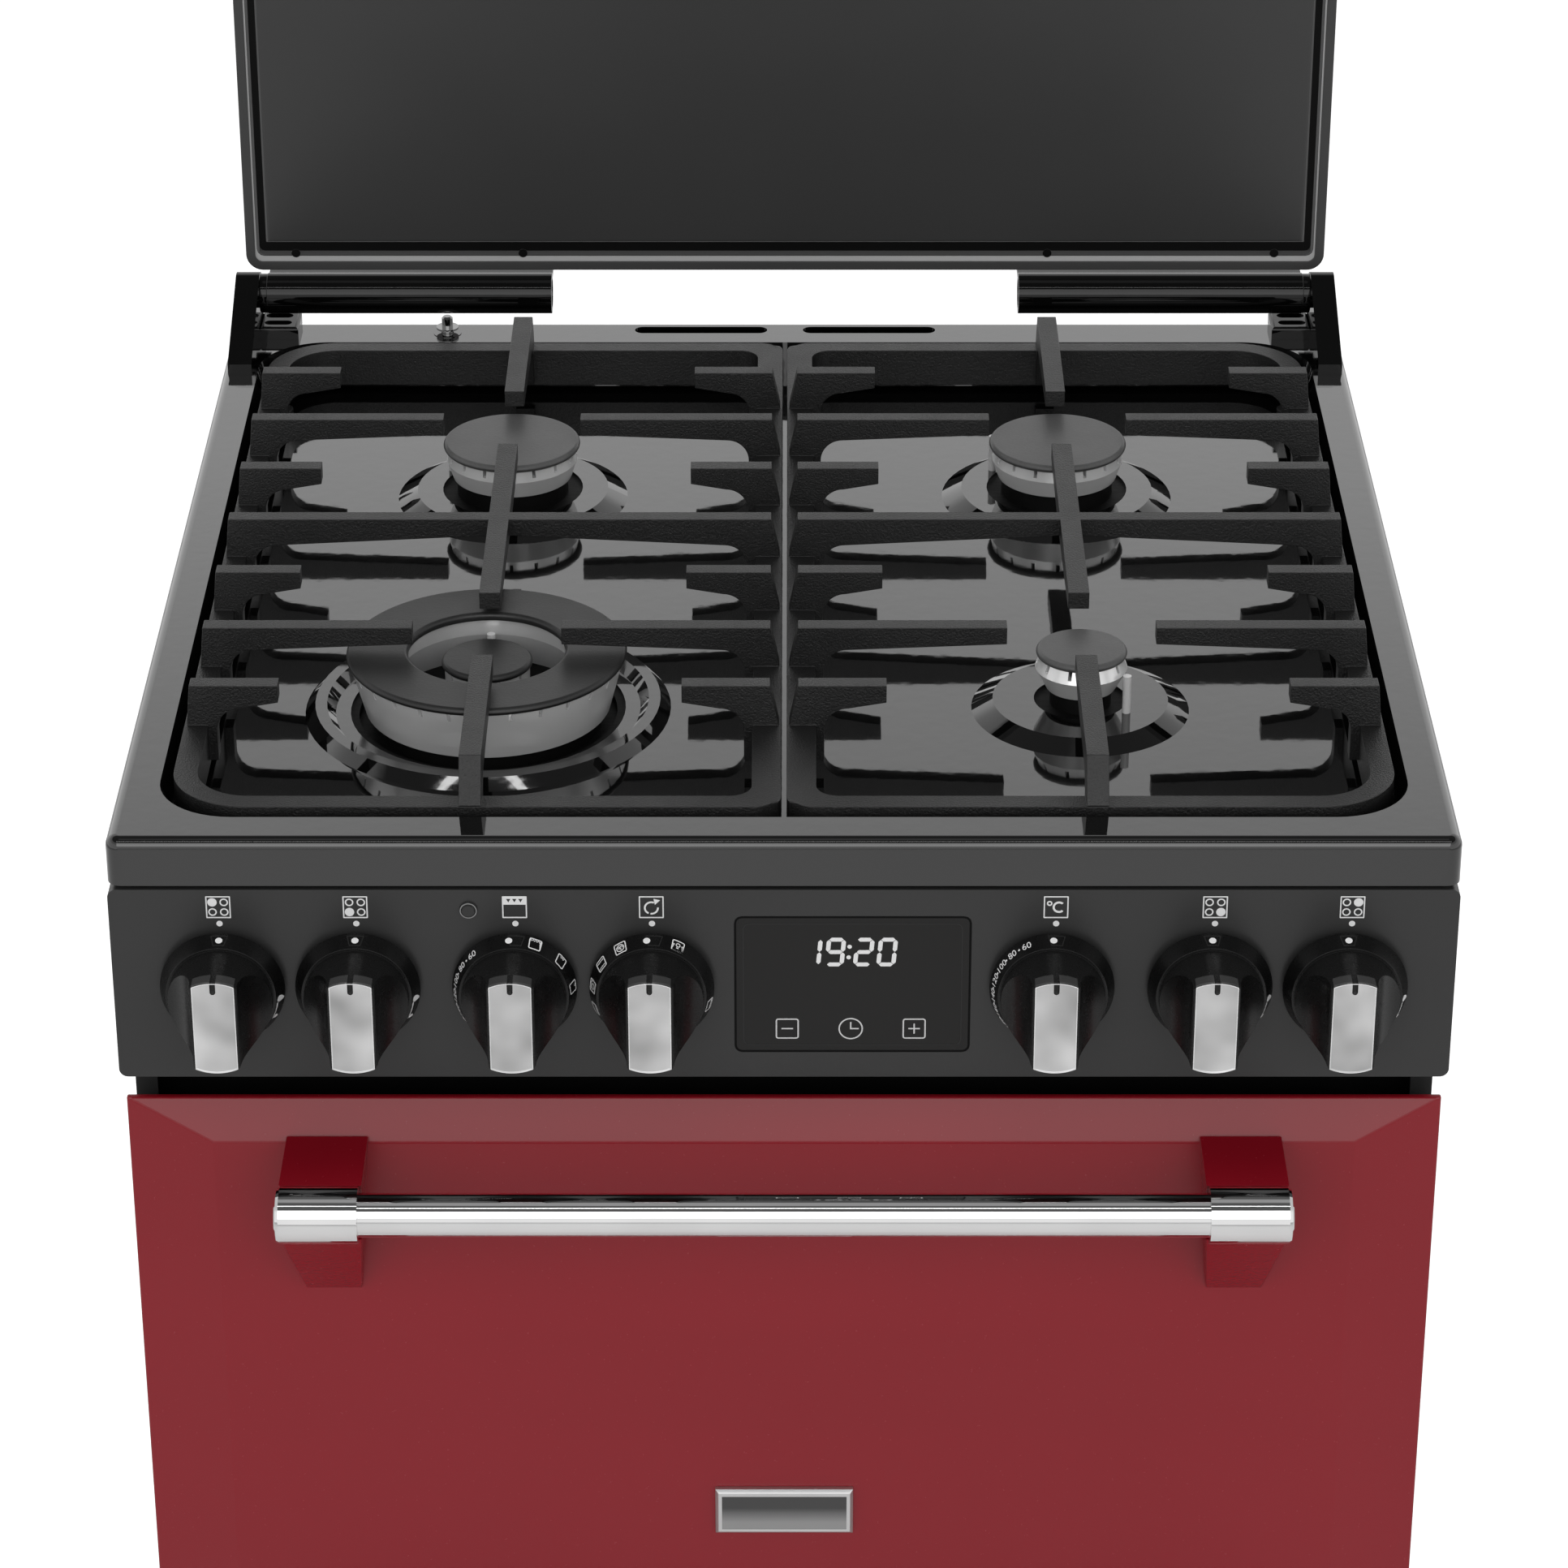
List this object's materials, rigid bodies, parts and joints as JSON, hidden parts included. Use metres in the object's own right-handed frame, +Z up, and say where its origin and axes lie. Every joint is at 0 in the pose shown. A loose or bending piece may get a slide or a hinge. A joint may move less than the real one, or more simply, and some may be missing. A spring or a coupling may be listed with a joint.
{
  "type": "free-standing cooker",
  "caption": "Free-standing cooker: gas hob with pan supports, fold-down lid, control knobs, clock window, grill oven over a fan oven, two drop-down doors.",
  "frame": {"origin": "on the floor, under the middle of the whole cooker with its lid open", "axes": "+Z up, +X to the cook's right, the front with its knobs and door handles faces -Y"},
  "size_m": [0.6, 0.681, 1.495],
  "materials": {
    "gloss_black_enamel": "gloss black vitreous enamel",
    "cast_iron_black": "matt black enamelled cast iron, fine grain",
    "burner_aluminium": "satin cast aluminium",
    "fascia_grey": "satin anthracite paint",
    "window_glass": "dark tinted glass",
    "lamp_lens": "clear neon lens",
    "circuit_board": "green circuit board",
    "knob_black": "black moulded plastic with a satin metal-look insert",
    "brass": "plain machined brass",
    "pipe_steel": "zinc plated steel pipe",
    "switch_plastic": "moulded phenolic",
    "door_red": "satin dark red enamel",
    "chrome": "polished chrome",
    "plate_grey": "bare brushed plate in a bright frame",
    "body_black": "black painted sheet steel",
    "liner_enamel": "dark grey speckled enamel",
    "galvanised": "galvanised sheet steel",
    "seal_rubber": "woven silicone seal",
    "shelf_chrome": "bright wire",
    "foot_plastic": "black foot",
    "electrode_ceramic": "glazed ceramic",
    "dark_steel": "heat-darkened steel"
  },
  "bodies": {
    "cabinet": {"side_panel_left": "body_black", "side_panel_right": "body_black", "back_panel": "galvanised", "base_pan": "galvanised", "plinth": "fascia_grey", "levelling_feet": "foot_plastic", "front_frame": "body_black", "hob_top": "gloss_black_enamel", "injector_cups": "dark_steel", "burner_crowns": "burner_aluminium", "burner_cap_rear_left": "cast_iron_black", "burner_cap_rear_right": "cast_iron_black", "burner_cap_front_right": "cast_iron_black", "wok_burner_caps": "cast_iron_black", "spark_electrodes": "electrode_ceramic", "fascia_panel": "fascia_grey", "display_window": "window_glass", "timer_board": "circuit_board", "indicator_lamp": "lamp_lens", "gas_rail": "pipe_steel", "gas_taps": "brass", "rotary_switches": "switch_plastic", "lid_hinge_brackets": "gloss_black_enamel", "door_hinge_arms": "pipe_steel", "grill_cavity": "liner_enamel", "main_oven_cavity": "liner_enamel", "oven_seals": "seal_rubber", "heating_elements": "dark_steel", "fan_motor": "pipe_steel", "fan_cover": "liner_enamel", "shelf_runners": "shelf_chrome", "oven_shelves": "shelf_chrome", "grill_pan": "liner_enamel"},
    "lid": {"lid_panel": "gloss_black_enamel", "lid_inner_panel": "gloss_black_enamel", "lid_hinge_tubes": "gloss_black_enamel"},
    "lid_plunger": {"safety_plunger": "chrome"},
    "upper_door": {"upper_door_skin": "door_red", "upper_door_liner": "liner_enamel", "upper_handle_bar": "chrome", "upper_handle_brackets": "door_red", "badge_plate": "plate_grey"},
    "lower_door": {"lower_door_skin": "door_red", "lower_door_liner": "liner_enamel", "lower_handle_bar": "chrome", "lower_handle_brackets": "door_red"},
    "left_pan_support": {"pan_support_left": "cast_iron_black"},
    "right_pan_support": {"pan_support_right": "cast_iron_black"},
    "fan_wheel": {"oven_fan": "pipe_steel"},
    "rear_left_spindle": {"tap_spindle_rear_left": "pipe_steel"},
    "rear_left_knob": {"knob_rear_left_burner": "knob_black"},
    "front_left_spindle": {"tap_spindle_front_left": "pipe_steel"},
    "front_left_knob": {"knob_front_left_burner": "knob_black"},
    "front_right_spindle": {"tap_spindle_front_right": "pipe_steel"},
    "front_right_knob": {"knob_front_right_burner": "knob_black"},
    "rear_right_spindle": {"tap_spindle_rear_right": "pipe_steel"},
    "rear_right_knob": {"knob_rear_right_burner": "knob_black"},
    "grill_knob": {"knob_grill": "knob_black"},
    "oven_function_knob": {"knob_oven_function": "knob_black"},
    "oven_temperature_knob": {"knob_oven_temperature": "knob_black"}
  },
  "joints": [
    {"name": "lid_fold", "type": "hinge", "parent": "cabinet", "child": "lid", "pos_m": [0, 0.3125, 0.9215], "axis": [-1, 0, 0], "range_deg": [-90, 0]},
    {"name": "lid_plunger_press", "type": "slide", "parent": "cabinet", "child": "lid_plunger", "axis": [0, 0, 1], "range_m": [-0.004, 0], "stiffness_N_per_m": 300, "springref_m": 0.002},
    {"name": "upper_door_drop", "type": "hinge", "parent": "cabinet", "child": "upper_door", "pos_m": [0, -0.261, 0.4925], "axis": [1, 0, 0], "range_deg": [0, 90]},
    {"name": "lower_door_drop", "type": "hinge", "parent": "cabinet", "child": "lower_door", "pos_m": [0, -0.261, 0.0965], "axis": [1, 0, 0], "range_deg": [0, 90]},
    {"name": "left_pan_support_lift", "type": "slide", "parent": "cabinet", "child": "left_pan_support", "axis": [0, 0, 1], "range_m": [0, 0.06]},
    {"name": "right_pan_support_lift", "type": "slide", "parent": "cabinet", "child": "right_pan_support", "axis": [0, 0, 1], "range_m": [0, 0.06]},
    {"name": "fan_spin", "type": "hinge", "parent": "cabinet", "child": "fan_wheel", "pos_m": [0, 0.17, 0.2845], "axis": [0, 1, 0], "continuous": true},
    {"name": "rear_left_knob_push", "type": "slide", "parent": "cabinet", "child": "rear_left_spindle", "axis": [0, 1, 0], "range_m": [0, 0.0025], "stiffness_N_per_m": 1200, "springref_m": -0.003},
    {"name": "rear_left_knob_turn", "type": "hinge", "parent": "rear_left_spindle", "child": "rear_left_knob", "pos_m": [-0.2506, -0.2775, 0.8275], "axis": [0, -1, 0], "range_deg": [0, 210]},
    {"name": "front_left_knob_push", "type": "slide", "parent": "cabinet", "child": "front_left_spindle", "axis": [0, 1, 0], "range_m": [0, 0.0025], "stiffness_N_per_m": 1200, "springref_m": -0.003},
    {"name": "front_left_knob_turn", "type": "hinge", "parent": "front_left_spindle", "child": "front_left_knob", "pos_m": [-0.1902, -0.2775, 0.8275], "axis": [0, -1, 0], "range_deg": [0, 210]},
    {"name": "front_right_knob_push", "type": "slide", "parent": "cabinet", "child": "front_right_spindle", "axis": [0, 1, 0], "range_m": [0, 0.0025], "stiffness_N_per_m": 1200, "springref_m": -0.003},
    {"name": "front_right_knob_turn", "type": "hinge", "parent": "front_right_spindle", "child": "front_right_knob", "pos_m": [0.1902, -0.2775, 0.8275], "axis": [0, -1, 0], "range_deg": [0, 210]},
    {"name": "rear_right_knob_push", "type": "slide", "parent": "cabinet", "child": "rear_right_spindle", "axis": [0, 1, 0], "range_m": [0, 0.0025], "stiffness_N_per_m": 1200, "springref_m": -0.003},
    {"name": "rear_right_knob_turn", "type": "hinge", "parent": "rear_right_spindle", "child": "rear_right_knob", "pos_m": [0.2506, -0.2775, 0.8275], "axis": [0, -1, 0], "range_deg": [0, 210]},
    {"name": "grill_knob_turn", "type": "hinge", "parent": "cabinet", "child": "grill_knob", "pos_m": [-0.1202, -0.2775, 0.8275], "axis": [0, -1, 0], "range_deg": [-230, 100]},
    {"name": "oven_function_knob_turn", "type": "hinge", "parent": "cabinet", "child": "oven_function_knob", "pos_m": [-0.059, -0.2775, 0.8275], "axis": [0, -1, 0], "range_deg": [-160, 45]},
    {"name": "oven_temperature_knob_turn", "type": "hinge", "parent": "cabinet", "child": "oven_temperature_knob", "pos_m": [0.1197, -0.2775, 0.8275], "axis": [0, -1, 0], "range_deg": [-260, 0]}
  ]
}
